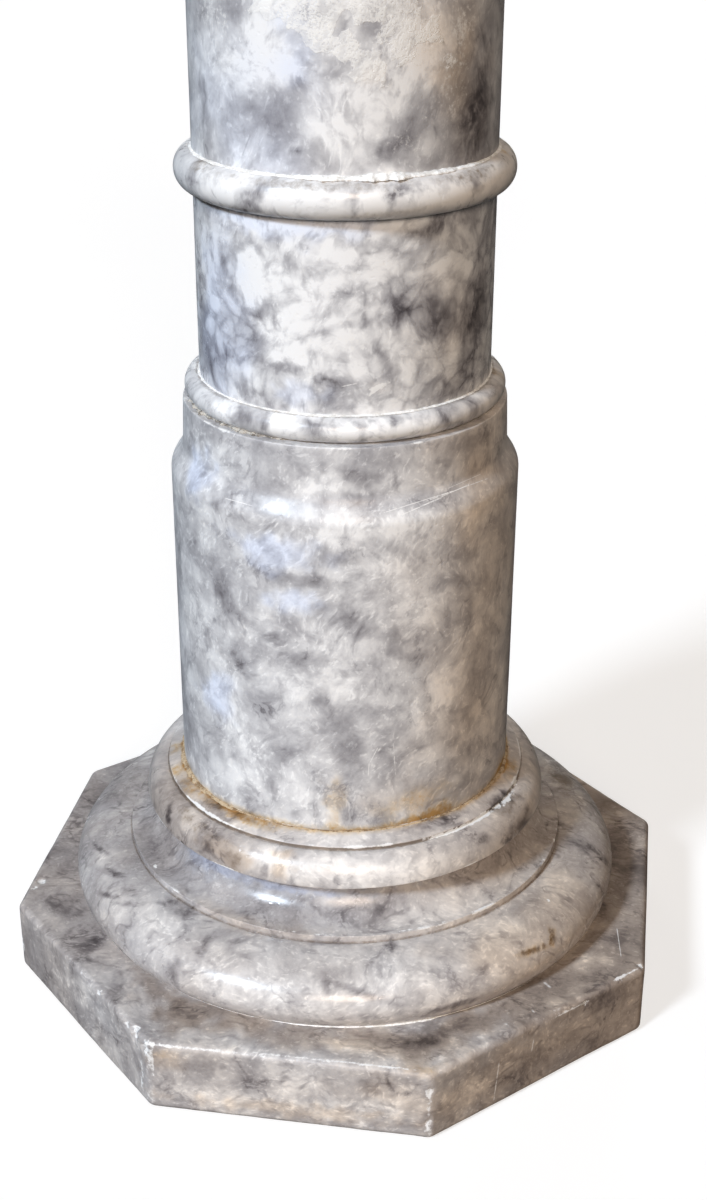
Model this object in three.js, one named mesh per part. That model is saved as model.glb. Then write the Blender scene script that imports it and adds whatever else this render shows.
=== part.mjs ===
// A turned marble column of the pedestal kind: an octagonal plinth, a moulded base, drums parted by
// beads, a plain shaft, and a bell capital under an octagonal slab. The pieces are stacked dry, each
// resting on the one below. Millimetres, +Z up, origin at the middle of the plinth's underside, with
// two of the plinth's flat sides facing along X and two along Y.
import * as THREE from "three";

// Driving dimensions. Radii are measured from the column's axis.
const columnHeight = 1020;
const plinthWidth = 300; // across the flats
const plinthHeight = 36.5;
const torusRadius = 132;
const drumRadius = 77.5;
const shaftRadius = 63.5;
const slabWidth = 284; // across the flats
const slabHeight = 34;

// Heights of the turned pieces, from the plinth up. The long shaft takes what is left over.
const baseHeight = 50.5;
const ringHeight = 18.5;
const drumHeight = 180;
const lowerBeadHeight = 11;
const middleDrumHeight = 80;
const upperBeadHeight = 16;
const neckBeadHeight = upperBeadHeight;
const capitalHeight = 89.5;
const shaftHeight =
  columnHeight -
  (plinthHeight + baseHeight + ringHeight + drumHeight + lowerBeadHeight + middleDrumHeight) -
  (upperBeadHeight + neckBeadHeight + capitalHeight + slabHeight);

// Octagonal slabs: their upright corners are rounded and their upper and lower edges are eased.
const slabSides = 8;
const cornerRadius = 6;
const edgeEase = 3;

// Moulded base: a torus, a fillet and a scotia turned from one block.
const torusSeatRadius = 127; // where the torus meets the plinth
const torusBellyHeight = 11.5; // height of the widest line above the plinth
const torusTopHeight = 28;
const filletRadius = 104.6;
const filletHeight = 3.5;
const scotiaNeckRadius = 87;

// Ring: an ovolo with a small ledge and a weathered top under the drum.
const ringRadius = 95.7;
const ringArrisRadius = 86;
const ringArrisHeight = 13.2;
const ringLedge = 0.9;
const ringRiser = 1.8;

// Lower drum: its shoulder steps in through an S-curve to a neck under the lower bead.
const shoulderStart = 147;
const shoulderHeight = 13;
const shoulderEase = 0.25; // share of the shoulder's height before each end of the S-curve bends
const neckFootRadius = 71.9;
const neckTopRadius = 71.1;

// Beads stand out from the shaft by these amounts.
const lowerBeadReach = 6.7;
const upperBeadReach = 7.8;
const beadSeat = 0.4; // the flat below and above a bead is this much wider than the shaft

// Capital: a short neck, a bell that flares through a cavetto, and a fillet under the slab.
const capitalNeckHeight = 22;
const bellRadius = 112;
const bellFilletHeight = 9;

// Facets: steps round the axis, half the steps along each round stretch of a profile, and the steps
// of a slab's rounded corners and eased edges.
const turnSteps = 48;
const arcSteps = 4;
const cornerSteps = 2;
const easeSteps = 2;

const quarterTurn = Math.PI / 2;
const sideTurn = (2 * Math.PI) / slabSides;

const column = new THREE.Group();
column.name = "marble_column";

function marble(colour, roughness) {
  return new THREE.MeshStandardMaterial({ color: colour, roughness, metalness: 0 });
}

const whiteMarble = marble(0xd9d8d9, 0.34);
const greyMarble = marble(0xb9b8bd, 0.32);
const dustyMarble = marble(0xb3aca7, 0.36);

// A profile drawn as radius and height, which starts on the axis at height 0.
function startProfile(footRadius) {
  return new THREE.Path().moveTo(0, 0).lineTo(footRadius, 0);
}

function closeProfile(profile, topRadius, height) {
  return profile.lineTo(topRadius, height).lineTo(0, height);
}

function turnedGeometry(profile) {
  const geometry = new THREE.LatheGeometry(profile.getPoints(arcSteps), turnSteps);
  geometry.rotateX(quarterTurn);
  return geometry;
}

// An eight-sided slab with rounded corners, standing on height 0.
function octagonGeometry(acrossFlats, height) {
  const apothem = acrossFlats / 2 - edgeEase;
  const cornerDistance = (apothem - cornerRadius) / Math.cos(sideTurn / 2);
  const outline = new THREE.Shape();
  for (let corner = 0; corner < slabSides; corner += 1) {
    const angle = (corner + 0.5) * sideTurn;
    const x = cornerDistance * Math.cos(angle);
    const y = cornerDistance * Math.sin(angle);
    outline.absarc(x, y, cornerRadius, angle - sideTurn / 2, angle + sideTurn / 2);
  }
  const geometry = new THREE.ExtrudeGeometry(outline, {
    depth: height - 2 * edgeEase,
    bevelThickness: edgeEase,
    bevelSize: edgeEase,
    bevelSegments: easeSteps,
    curveSegments: cornerSteps,
  });
  geometry.translate(0, 0, edgeEase);
  return geometry;
}

function baseProfile() {
  const bellyRise = torusTopHeight - torusBellyHeight;
  const torusDepth = torusRadius - filletRadius;
  const seatTurn = Math.acos(1 - (torusRadius - torusSeatRadius) / torusDepth);
  const lowerReach = torusBellyHeight / Math.sin(seatTurn);
  const filletTop = torusTopHeight + filletHeight;
  const profile = startProfile(torusSeatRadius);
  profile.absellipse(filletRadius, torusBellyHeight, torusDepth, lowerReach, -seatTurn, 0);
  profile.absellipse(filletRadius, torusBellyHeight, torusDepth, bellyRise, 0, quarterTurn);
  profile.lineTo(filletRadius, filletTop);
  const scotiaDepth = filletRadius - scotiaNeckRadius;
  const scotiaRise = baseHeight - filletTop;
  profile.absellipse(
    filletRadius, baseHeight, scotiaDepth, scotiaRise, 3 * quarterTurn, 2 * quarterTurn, true,
  );
  return profile.lineTo(0, baseHeight);
}

function ringProfile() {
  const ovoloReach = ringRadius - ringArrisRadius;
  const profile = startProfile(ringRadius);
  profile.absellipse(ringArrisRadius, 0, ovoloReach, ringArrisHeight, 0, quarterTurn);
  profile.lineTo(ringArrisRadius - ringLedge, ringArrisHeight);
  profile.lineTo(ringArrisRadius - ringLedge, ringArrisHeight + ringRiser);
  return closeProfile(profile, drumRadius, ringHeight);
}

function drumProfile() {
  const shoulderTop = shoulderStart + shoulderHeight;
  const bend = (shoulderStart + shoulderTop) / 2;
  const bendRadius = (drumRadius + neckFootRadius) / 2;
  const ease = shoulderEase * shoulderHeight;
  const profile = startProfile(drumRadius);
  profile.lineTo(drumRadius, shoulderStart);
  profile.quadraticCurveTo(drumRadius, shoulderStart + ease, bendRadius, bend);
  profile.quadraticCurveTo(neckFootRadius, shoulderTop - ease, neckFootRadius, shoulderTop);
  return closeProfile(profile, neckTopRadius, drumHeight);
}

function beadProfile(height, reach) {
  const seatRadius = shaftRadius + beadSeat;
  const profile = startProfile(seatRadius);
  profile.absellipse(seatRadius, height / 2, reach - beadSeat, height / 2, -quarterTurn, quarterTurn);
  return profile.lineTo(0, height);
}

function plainProfile(height) {
  return closeProfile(startProfile(shaftRadius), shaftRadius, height);
}

function capitalProfile() {
  const bellTop = capitalHeight - bellFilletHeight;
  const flare = bellRadius - shaftRadius;
  const profile = startProfile(shaftRadius);
  profile.lineTo(shaftRadius, capitalNeckHeight);
  profile.absellipse(
    bellRadius, capitalNeckHeight, flare, bellTop - capitalNeckHeight, 2 * quarterTurn, quarterTurn, true,
  );
  return closeProfile(profile, bellRadius, capitalHeight);
}

// The pieces in the order that they are stacked, each with its own height.
const stack = [
  ["octagonal_plinth", octagonGeometry(plinthWidth, plinthHeight), dustyMarble, plinthHeight],
  ["torus_base", turnedGeometry(baseProfile()), dustyMarble, baseHeight],
  ["base_ring", turnedGeometry(ringProfile()), whiteMarble, ringHeight],
  ["lower_drum", turnedGeometry(drumProfile()), greyMarble, drumHeight],
  ["lower_bead", turnedGeometry(beadProfile(lowerBeadHeight, lowerBeadReach)), whiteMarble, lowerBeadHeight],
  ["middle_drum", turnedGeometry(plainProfile(middleDrumHeight)), greyMarble, middleDrumHeight],
  ["upper_bead", turnedGeometry(beadProfile(upperBeadHeight, upperBeadReach)), whiteMarble, upperBeadHeight],
  ["shaft", turnedGeometry(plainProfile(shaftHeight)), greyMarble, shaftHeight],
  ["neck_bead", turnedGeometry(beadProfile(neckBeadHeight, upperBeadReach)), whiteMarble, neckBeadHeight],
  ["bell_capital", turnedGeometry(capitalProfile()), greyMarble, capitalHeight],
  ["octagonal_slab", octagonGeometry(slabWidth, slabHeight), dustyMarble, slabHeight],
];

let seat = 0;
for (const [name, geometry, material, height] of stack) {
  const piece = new THREE.Mesh(geometry, material);
  piece.name = name;
  piece.position.z = seat;
  column.add(piece);
  seat += height;
}

export default column;
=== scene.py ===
"""Looks of a turned marble column: worn, veined and stained stone pieces on a pale studio floor, with some
light and shade painted into their colour.

Lengths are millimetres until a mesh is made. +Z runs up the column's axis and -Y is its front.
"""
import itertools
import math

import bpy
import numpy as np
from mathutils import Matrix, Vector


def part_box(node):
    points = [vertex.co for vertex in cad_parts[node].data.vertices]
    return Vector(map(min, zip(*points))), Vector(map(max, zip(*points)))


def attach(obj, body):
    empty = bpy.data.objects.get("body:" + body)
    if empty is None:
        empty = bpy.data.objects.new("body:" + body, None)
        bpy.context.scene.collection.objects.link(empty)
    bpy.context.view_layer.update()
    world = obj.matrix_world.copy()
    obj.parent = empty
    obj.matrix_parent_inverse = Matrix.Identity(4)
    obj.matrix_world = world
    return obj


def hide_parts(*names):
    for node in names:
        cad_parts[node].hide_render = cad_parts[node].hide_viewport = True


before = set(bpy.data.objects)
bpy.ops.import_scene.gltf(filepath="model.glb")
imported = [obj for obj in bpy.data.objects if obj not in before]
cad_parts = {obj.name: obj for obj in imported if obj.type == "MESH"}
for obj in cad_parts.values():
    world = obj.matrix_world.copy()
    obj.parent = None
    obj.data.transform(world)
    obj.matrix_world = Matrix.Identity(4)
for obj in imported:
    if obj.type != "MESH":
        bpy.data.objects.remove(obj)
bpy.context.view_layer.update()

MM = 0.001  # metres in a millimetre

# The view: the picture's size and the pixel straight ahead of the lens, then where the camera stands.
PICTURE_WIDE = 707
PICTURE_HIGH = 1200
AHEAD_PIXEL = (345.0, 600.0)
FOCAL_PIXELS = 1773.6
SENSOR_WIDTH = 36.0
CAMERA_AZIMUTH = math.radians(9.45)
CAMERA_PITCH = math.radians(26.23)
CAMERA_DISTANCE = 741.0
CAMERA_HEIGHT = 547.2

# Profiles of the turned pieces: radii from the axis, and heights above each piece's own foot.
TORUS_SEAT = 127.0
TORUS_BELLY = 11.5
TORUS_TOP = 28.0
FILLET_RADIUS = 104.6
FILLET_HEIGHT = 3.5
SCOTIA_NECK = 87.0
RING_ARRIS_RADIUS = 86.0
RING_ARRIS_HEIGHT = 13.2
RING_LEDGE = 0.9
RING_RISER = 1.8
SHOULDER_START = 147.0
SHOULDER_HEIGHT = 13.0
NECK_FOOT = 71.9
NECK_TOP = 71.1
BEAD_SEAT = 0.4
CAPITAL_NECK = 22.0
BELL_FILLET = 9.0
SLAB_CORNER = 6.0
SLAB_EASE = 3.0
SLAB_SIDES = 8
SLAB_CROWDING = 0.3  # share by which the points of a slab's side crowd towards its corners
JOINT_LIP = 4.0  # a turned profile starts and ends this far inside its joints
WIDE_LIP = 6.0  # and this far where the neighbour is narrower

# Steps: points along an arc, an S-curve, and a slab's side and corner, then the length and turn of a step.
ARC_POINTS = 33
CURVE_POINTS = 25
SIDE_POINTS = 81
CORNER_POINTS = 9
HAIR = 0.2
BEND_STEP = math.radians(11)
SHARP_BEND = (0.18, 0.5)  # radians in a millimetre where a bend starts to count, and counts in full

# Marks that are painted on the stone's points and read by its finish. Some also carry painted shade, painted
# shadows and painted highlights.
MARKS = ("tone", "warmth", "crust", "rust", "grime", "bruise")
MARK_AND_SHADE_TOP = 620.0  # the shaft's marks and painted side shade have thinned out at this height above the floor
MARK_AND_SHADE_FADE = 160.0  # and they start to thin this far below it
CLOUD_SEED = 40  # added to a stone's own seed for its clouds
GRIME_SEED = 29  # and for the dirt in its joints

# A patch of marks, in shares of its size: where it has surely ended, its lumps and how far they push it.
PATCH_LIMIT = 2.6
PATCH_LUMPS = 1.1
PATCH_PUSH = 1.6
PATCH_SEEDS = (11, 23)

# The studio, in metres, and the colour of its back lights.
SUN_DISTANCE = 3.0
SUN_AIM_HEIGHT = 0.2
BACK_LIGHT = (1.0, 0.98, 0.95)
FLOOR_WIDTH = 40.0
ROOM_SIDES = 96
ROOM_RADIUS = 12.0
ROOM_HEIGHT = 16.0


def span(node):
    """The foot, the top and the reach from the axis of one piece."""
    low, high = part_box(node)
    return low.z / MM, high.z / MM, high.x / MM


# Noise for shapes and marks, from large odd numbers that scatter neighbouring places.

PLACE_SCATTER = (73856093, 19349663, 83492791)
SEED_SCATTER = 2654435761
FIRST_STIR = 1274126177
SECOND_STIR = 2246822519
WORD = 0xFFFFFFFF
HALF_WORD = 0xFFFF
OCTAVE_SHIFT = 17.3


def lattice_value(cell, seed):
    """A repeatable number from 0 to 1 for each whole-numbered place."""
    mixed = np.bitwise_xor.reduce(cell * PLACE_SCATTER, axis=1) ^ seed * SEED_SCATTER
    mixed = (mixed & WORD) * FIRST_STIR & WORD
    mixed = (mixed ^ mixed >> 15) * SECOND_STIR & WORD
    return (mixed >> 8 & HALF_WORD) / HALF_WORD


def mottle(points, size, seed, octaves=3):
    """Cloudy noise from -1 to 1 at each point, with lumps of about the given size."""
    total = np.zeros(len(points))
    weights = 0.5 ** np.arange(octaves)
    for octave, weight in enumerate(weights):
        spot = points / (size * weight) + OCTAVE_SHIFT * octave
        cell = np.floor(spot).astype(np.int64)
        part = spot - cell
        part = part * part * (3 - 2 * part)
        for corner in itertools.product((0, 1), repeat=3):
            share = np.prod(np.where(corner, part, 1 - part), axis=1)
            total += weight * share * (2 * lattice_value(cell + np.array(corner), seed + octave) - 1)
    return total / weights.sum()


def smooth_step(low, high, value):
    share = np.clip((value - low) / (high - low), 0, 1)
    return share * share * (3 - 2 * share)


# Profiles.

def straight(*points):
    """Straight legs from point to point."""
    return np.array(points, float)


def ellipse_arc(centre, reach, rise, start, end):
    """Part of an ellipse as radius and height, from one angle to another in degrees."""
    turn = np.radians(np.linspace(start, end, ARC_POINTS))
    return np.column_stack([centre[0] + reach * np.cos(turn), centre[1] + rise * np.sin(turn)])


def s_curve(start, end):
    """A soft double bend between two points that both head straight up."""
    share = np.linspace(0, 1, CURVE_POINTS)
    swing = (1 - np.cos(math.pi * share)) / 2
    radius = start[0] + (end[0] - start[0]) * swing
    height = start[1] + (end[1] - start[1]) * share
    return np.column_stack([radius, height])


def spread(profile, places):
    """Points at the given distances along a profile."""
    legs = np.hypot(*np.diff(profile, axis=0).T)
    run = np.concatenate([[0], np.cumsum(legs)])
    return np.column_stack([np.interp(places, run, profile[:, axis]) for axis in (0, 1)]), run[-1]


def worn(stretches, softness, step):
    """A profile with its arrises rubbed round, in steps that are closer where it bends.

    Gives the points, the distance of each along the profile, and how sharply it bends out there.
    """
    profile = np.vstack(stretches)
    profile = profile[np.concatenate([[True], np.hypot(*np.diff(profile, axis=0).T) > 1e-6])]
    length = spread(profile, [0])[1]
    fine = spread(profile, np.linspace(0, length, round(length / HAIR) + 1))[0]
    reach = max(1, round(3 * softness / HAIR))
    weights = np.exp(-0.5 * (np.arange(-reach, reach + 1) * HAIR / softness) ** 2)
    weights /= weights.sum()
    before = 2 * fine[0] - fine[reach:0:-1]
    after = 2 * fine[-1] - fine[-2:-reach - 2:-1]
    padded = np.vstack([before, fine, after])
    rubbed = np.column_stack([np.convolve(padded[:, axis], weights, "valid") for axis in (0, 1)])
    heading = np.unwrap(np.arctan2(*np.gradient(rubbed, axis=0).T[::-1]))
    bend = np.gradient(heading) / HAIR
    effort = np.concatenate([[0], np.cumsum((1 / step + np.abs(bend[1:]) / BEND_STEP) * HAIR)])
    rows = math.ceil(effort[-1])
    order = np.arange(len(effort))
    picks = np.interp(np.linspace(0, effort[-1], rows + 1), effort, order)
    points = np.column_stack([np.interp(picks, order, rubbed[:, axis]) for axis in (0, 1)])
    return points, picks * HAIR, np.interp(picks, order, bend)


# The camera's line of sight, so that a mark can be set where the picture shows it.

CAMERA_RIGHT = np.array([math.cos(CAMERA_AZIMUTH), math.sin(CAMERA_AZIMUTH), 0])
CAMERA_AHEAD = np.array([
    -math.sin(CAMERA_AZIMUTH) * math.cos(CAMERA_PITCH),
    math.cos(CAMERA_AZIMUTH) * math.cos(CAMERA_PITCH),
    -math.sin(CAMERA_PITCH),
])
CAMERA_UP = np.cross(CAMERA_RIGHT, CAMERA_AHEAD)
CAMERA_PLACE = np.array([
    CAMERA_DISTANCE * math.sin(CAMERA_AZIMUTH),
    -CAMERA_DISTANCE * math.cos(CAMERA_AZIMUTH),
    CAMERA_HEIGHT,
])


def sight(pixel):
    """The direction in which the camera sees a pixel of the picture."""
    aside = (pixel[0] - AHEAD_PIXEL[0]) / FOCAL_PIXELS
    above = (AHEAD_PIXEL[1] - pixel[1]) / FOCAL_PIXELS
    direction = CAMERA_AHEAD + aside * CAMERA_RIGHT + above * CAMERA_UP
    return direction / np.linalg.norm(direction)


class Stone:
    """One marble piece in the making: a grid of points in rows round the axis, and the marks on it."""

    def __init__(self, name, grid, run, bend, seed, is_ring=False):
        rows, turns = grid.shape[:2]
        self.name = name
        self.seed = seed
        self.is_ring = is_ring
        self.points = grid.reshape(-1, 3)
        across = np.roll(grid, -1, axis=1) - np.roll(grid, 1, axis=1)
        along = np.gradient(grid, axis=0)
        outward = np.cross(across, along).reshape(-1, 3)
        self.normals = outward / np.maximum(np.linalg.norm(outward, axis=1), 1e-9)[:, None]
        self.angle = np.arctan2(self.points[:, 1], self.points[:, 0])
        self.radius = np.hypot(self.points[:, 0], self.points[:, 1])
        self.run = np.repeat(run, turns)
        self.arris = np.repeat(self.bent(bend), turns)
        self.crook = np.repeat(self.bent(-bend), turns)
        self.shape = (rows, turns)
        self.marks = {mark: np.zeros(rows * turns) for mark in MARKS}

    def bent(self, bend):
        """A share from 0 to 1 for each row of the profile that lies on a sharp bend or beside one."""
        sharp = smooth_step(*SHARP_BEND, bend)
        beside = np.maximum(np.append(sharp[1:], 0), np.insert(sharp[:-1], 0, 0))
        return np.maximum(sharp, 0.7 * beside)

    def raise_by(self, height):
        """Moves each point outwards from the stone by its own height."""
        self.points = self.points + self.normals * np.asarray(height)[:, None]

    def seen_at(self, pixel):
        """The point of this stone that the camera sees at a pixel."""
        direction = sight(pixel)
        away = self.points - CAMERA_PLACE
        depth = away @ direction
        aside = np.linalg.norm(away - depth[:, None] * direction, axis=1)
        facing = np.einsum("ij,ij->i", self.normals, away) < 0
        return int(np.argmin(np.where(facing, aside, np.inf)))

    def patch(self, pixel, wide, high, tilt=0.0, ragged=0.6, soft=0.75):
        """A share from 0 to 1 on the points of a ragged oval patch, tilted in degrees."""
        middle = self.seen_at(pixel)
        turn = (self.angle - self.angle[middle] + math.pi) % (2 * math.pi) - math.pi
        aside = turn * self.radius[middle]
        above = self.run - self.run[middle]
        lean = math.radians(tilt)
        main = (aside * math.cos(lean) + above * math.sin(lean)) / wide
        other = (above * math.cos(lean) - aside * math.sin(lean)) / high
        near = np.hypot(main, other) < PATCH_LIMIT
        lumps = PATCH_LUMPS * min(wide, high)
        shifts = [PATCH_PUSH * ragged * mottle(self.points[near], lumps, seed) for seed in PATCH_SEEDS]
        outward = np.full(len(self.points), np.inf)
        outward[near] = np.hypot(main[near] + shifts[0], other[near] + shifts[1])
        return 1 - smooth_step(1 - soft, 1 + soft, outward)

    def paint(self, groups):
        """Adds groups of patches. A group is a mark, its strength and then its patches."""
        for mark, strength, *patches in groups:
            for column, row, *size in patches:
                self.marks[mark] += strength * self.patch((column, row), *size)

    def bite(self, pixel, size, depth):
        """Knocks a chip out of an edge and leaves its fresh stone pale."""
        middle = self.seen_at(pixel)
        gap = np.linalg.norm(self.points - self.points[middle], axis=1)
        near = gap < 2.5 * size
        rough = 1 + 0.9 * mottle(self.points[near], 0.8 * size, seed=5)
        scoop = np.zeros(len(gap))
        scoop[near] = np.clip(1 - (gap[near] / (size * rough)) ** 2, 0, 1)
        self.points = self.points - self.normals[middle] * (depth * np.sqrt(scoop))[:, None]
        self.marks["bruise"] = np.maximum(self.marks["bruise"], 0.7 * smooth_step(0.05, 0.6, scoop))

    def faces(self):
        """Quads between the rows. A ring closes on itself, and any other stone by fans at its ends."""
        rows, turns = self.shape
        index = np.arange(rows * turns).reshape(rows, turns)
        if self.is_ring:
            index = np.vstack([index, index[:1]])
        following = np.roll(index, -1, axis=1)
        quads = np.stack([index[:-1], following[:-1], following[1:], index[1:]], axis=-1).reshape(-1, 4)
        if self.is_ring:
            return quads.tolist()
        foot_hub = rows * turns
        foot = [(foot_hub, b, a) for a, b in zip(index[0], following[0])]
        top = [(foot_hub + 1, a, b) for a, b in zip(index[-1], following[-1])]
        return [*quads.tolist(), *foot, *top]

    def mesh(self):
        turns = self.shape[1]
        hubs = [] if self.is_ring else [self.points[:turns].mean(0), self.points[-turns:].mean(0)]
        made = bpy.data.meshes.new(self.name)
        made.from_pydata((np.array([*self.points, *hubs]) * MM).tolist(), [], self.faces())
        made.shade_smooth()
        for mark, shares in self.marks.items():
            layer = made.attributes.new(mark, "FLOAT", "POINT")
            layer.data.foreach_set("value", np.append(shares, [0] * len(hubs)).astype(np.float32))
        return made


def turned(name, stretches, softness, step, turns, seed):
    """A stone turned on the column's axis from its profile, which starts and ends inside its joints."""
    profile, run, bend = worn(stretches, softness, step)
    angle = np.linspace(0, 2 * math.pi, turns, endpoint=False)
    grid = np.empty((len(profile), turns, 3))
    grid[..., 0] = profile[:, :1] * np.cos(angle)
    grid[..., 1] = profile[:, :1] * np.sin(angle)
    grid[..., 2] = profile[:, 1:]
    return Stone(name, grid, run, bend, seed)


def octagon_outline(apothem):
    """Points round an octagon with rounded corners, and the direction that each one faces."""
    side_turn = 2 * math.pi / SLAB_SIDES
    corner_distance = (apothem - SLAB_CORNER) / math.cos(side_turn / 2)
    half_side = (apothem - SLAB_CORNER) * math.tan(side_turn / 2)
    even = np.linspace(-1, 1, SIDE_POINTS)
    crowded = half_side * np.sin(even * math.pi / 2)
    flat = (1 - SLAB_CROWDING) * half_side * even + SLAB_CROWDING * crowded
    places = []
    facing = []
    for side in range(SLAB_SIDES):
        middle = side * side_turn
        out = np.array([math.cos(middle), math.sin(middle)])
        aside = np.array([-out[1], out[0]])
        places.extend(apothem * out + share * aside for share in flat)
        facing.extend(out for _ in flat)
        corner = middle + side_turn / 2
        hub = corner_distance * np.array([math.cos(corner), math.sin(corner)])
        for bend in np.linspace(-side_turn / 2, side_turn / 2, CORNER_POINTS)[1:-1]:
            out = np.array([math.cos(corner + bend), math.sin(corner + bend)])
            places.append(hub + SLAB_CORNER * out)
            facing.append(out)
    return np.array(places), np.array(facing)


def octagonal(name, foot, top, apothem, top_inset, step, seed):
    """An eight-sided slab with eased edges. Its upper face is drawn from the edge to top_inset."""
    places, facing = octagon_outline(apothem)
    profile, run, bend = worn([
        straight((2 * SLAB_EASE, foot), (SLAB_EASE, foot)),
        ellipse_arc((SLAB_EASE, foot + SLAB_EASE), SLAB_EASE, SLAB_EASE, 270, 180),
        ellipse_arc((SLAB_EASE, top - SLAB_EASE), SLAB_EASE, SLAB_EASE, 180, 90),
        straight((SLAB_EASE, top), (top_inset, top)),
    ], softness=0.4, step=step)
    shallow = np.minimum(profile[:, 0], 1.2 * SLAB_EASE)
    shrink = (apothem - profile[:, 0]) / (apothem - shallow)
    grid = np.empty((len(profile), len(places), 3))
    grid[..., :2] = (places - shallow[:, None, None] * facing) * shrink[:, None, None]
    grid[..., 2] = profile[:, 1:]
    stone = Stone(name, grid, run, -bend, seed)
    at_corner = np.linalg.norm(np.roll(facing, -1, axis=0) - np.roll(facing, 1, axis=0), axis=1) > 0.05
    upright = np.abs(stone.normals[:, 2]) < 0.7
    stone.arris = np.maximum(stone.arris, np.tile(at_corner, len(profile)) * upright * 0.8)
    return stone


# Finishes.

class Flow:
    """A value, colour or vector on its way between nodes. Sums and products of values add Math nodes."""

    def __init__(self, finish, socket):
        self.finish = finish
        self.socket = socket

    def __add__(self, other):
        return self.finish.maths("ADD", self, other)

    def __radd__(self, other):
        return self.finish.maths("ADD", other, self)

    def __sub__(self, other):
        return self.finish.maths("SUBTRACT", self, other)

    def __rsub__(self, other):
        return self.finish.maths("SUBTRACT", other, self)

    def __mul__(self, other):
        return self.finish.maths("MULTIPLY", self, other)

    def __rmul__(self, other):
        return self.finish.maths("MULTIPLY", other, self)

    def __abs__(self):
        return self.finish.maths("ABSOLUTE", self, 0.0)


class Finish:
    """A stone's material in the making."""

    def __init__(self, name):
        self.material = bpy.data.materials.new(name)
        self.material.use_nodes = True
        self.tree = self.material.node_tree
        self.shader = self.tree.nodes["Principled BSDF"]
        place = self.node("ShaderNodeTexCoord", output="Object")
        self.place = self.vector("SCALE", place, scale=1 / MM)

    def node(self, kind, settings=None, inputs=None, output=0):
        """Adds a node: its settings first, then the values and links of its sockets."""
        made = self.tree.nodes.new(kind)
        for setting, value in (settings or {}).items():
            if setting == "stops":
                self.set_stops(made.color_ramp, value)
            else:
                setattr(made, setting, value)
        for socket, value in (inputs or {}).items():
            self.feed(made.inputs[socket], value)
        return Flow(self, made.outputs[output])

    def set_stops(self, ramp, stops):
        while len(ramp.elements) < len(stops):
            ramp.elements.new(1.0)
        for element, (place, colour) in zip(ramp.elements, stops):
            element.position = place
            element.color = (*colour, 1)

    def feed(self, socket, value):
        if isinstance(value, Flow):
            self.tree.links.new(value.socket, socket)
        else:
            socket.default_value = value

    def maths(self, operation, first, second):
        return self.node("ShaderNodeMath", {"operation": operation}, {0: first, 1: second})

    def vector(self, operation, first, second=None, scale=None):
        inputs = {0: first}
        if second is not None:
            inputs[1] = second
        if scale is not None:
            inputs["Scale"] = scale
        output = "Value" if operation in ("DOT_PRODUCT", "DISTANCE") else "Vector"
        return self.node("ShaderNodeVectorMath", {"operation": operation}, inputs, output)

    def mark(self, name):
        return self.node("ShaderNodeAttribute", {"attribute_name": name}, output="Fac")

    def noise(self, place, size, detail, roughness=0.55, output=0):
        inputs = {"Vector": place, "Scale": 1 / size, "Detail": detail, "Roughness": roughness}
        return self.node("ShaderNodeTexNoise", {}, inputs, output)

    def cells(self, place, size, feature):
        inputs = {"Vector": place, "Scale": 1 / size}
        return self.node("ShaderNodeTexVoronoi", {"feature": feature}, inputs, "Distance")

    def ease(self, value, low, high):
        """A share from 0 at low to 1 at high, with soft ends."""
        inputs = {0: value, 1: low, 2: high}
        return self.node("ShaderNodeMapRange", {"interpolation_type": "SMOOTHSTEP"}, inputs)

    def ramp(self, value, stops):
        return self.node("ShaderNodeValToRGB", {"stops": stops}, {0: value})

    def mix(self, share, first, second, way="MIX"):
        colours = [value if isinstance(value, Flow) else (*value, 1) for value in (first, second)]
        settings = {"data_type": "RGBA", "blend_type": way}
        return self.node("ShaderNodeMix", settings, {0: share, 6: colours[0], 7: colours[1]}, 2)

    def tinted(self, share, colour, tint):
        """A colour that takes on a tint where the share is high."""
        return self.mix(share, colour, self.mix(1.0, colour, tint, "MULTIPLY"))

    def slant(self, place, lean, length):
        """A place drawn out along the upright, leaning to the right by an angle in degrees."""
        settings = {"vector_type": "TEXTURE"}
        return self.node("ShaderNodeMapping", settings, {
            "Vector": place, "Rotation": (0, math.radians(lean), 0), "Scale": (1, 1, length),
        })

    def warp(self, place, size, reach):
        """A place pushed about by noise, so that what is drawn there runs unevenly."""
        push = self.noise(place, size, detail=1.0, output=1)
        centred = self.vector("SUBTRACT", push, (0.5, 0.5, 0.5))
        return self.vector("ADD", place, self.vector("SCALE", centred, scale=reach))

    def give(self, name, value):
        """Feeds one of the shader's own sockets."""
        self.feed(self.shader.inputs[name], value)

    def emboss(self, height, strength, distance):
        """Gives the stone fine relief, over a distance in millimetres."""
        inputs = {"Strength": strength, "Distance": distance * MM, "Height": height}
        self.give("Normal", self.node("ShaderNodeBump", {}, inputs, "Normal"))


# Tones of the marble from its darkest vein to its whitest nodule.
MARBLE_TONES = (
    (0.0, (0.070, 0.064, 0.070)),
    (0.22, (0.185, 0.176, 0.186)),
    (0.45, (0.390, 0.383, 0.396)),
    (0.68, (0.625, 0.620, 0.624)),
    (0.86, (0.790, 0.785, 0.782)),
    (1.0, (0.885, 0.880, 0.872)),
)
WARM_TINT = (1.0, 0.84, 0.68)
COOL_TINT = (0.86, 0.92, 1.06)
CHALK = (0.88, 0.87, 0.84)
# Pale fresh stone, and also the colour of painted highlights along edges.
FRESH_STONE_AND_HIGHLIGHT = (0.85, 0.84, 0.82)
RUST_WASH = (0.90, 0.73, 0.47)
RUST_DEEP = (0.70, 0.51, 0.27)
# Dirt, and also the colour of painted shade in creases, on risers and in cast shadows.
GRIME_AND_SHADE = (0.38, 0.33, 0.28)
MARBLE_IOR = 1.49
SEED_SHIFT = (37.0, 61.0, 23.0)  # how far apart in the figure two stones are cut, for a seed of 1


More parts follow.
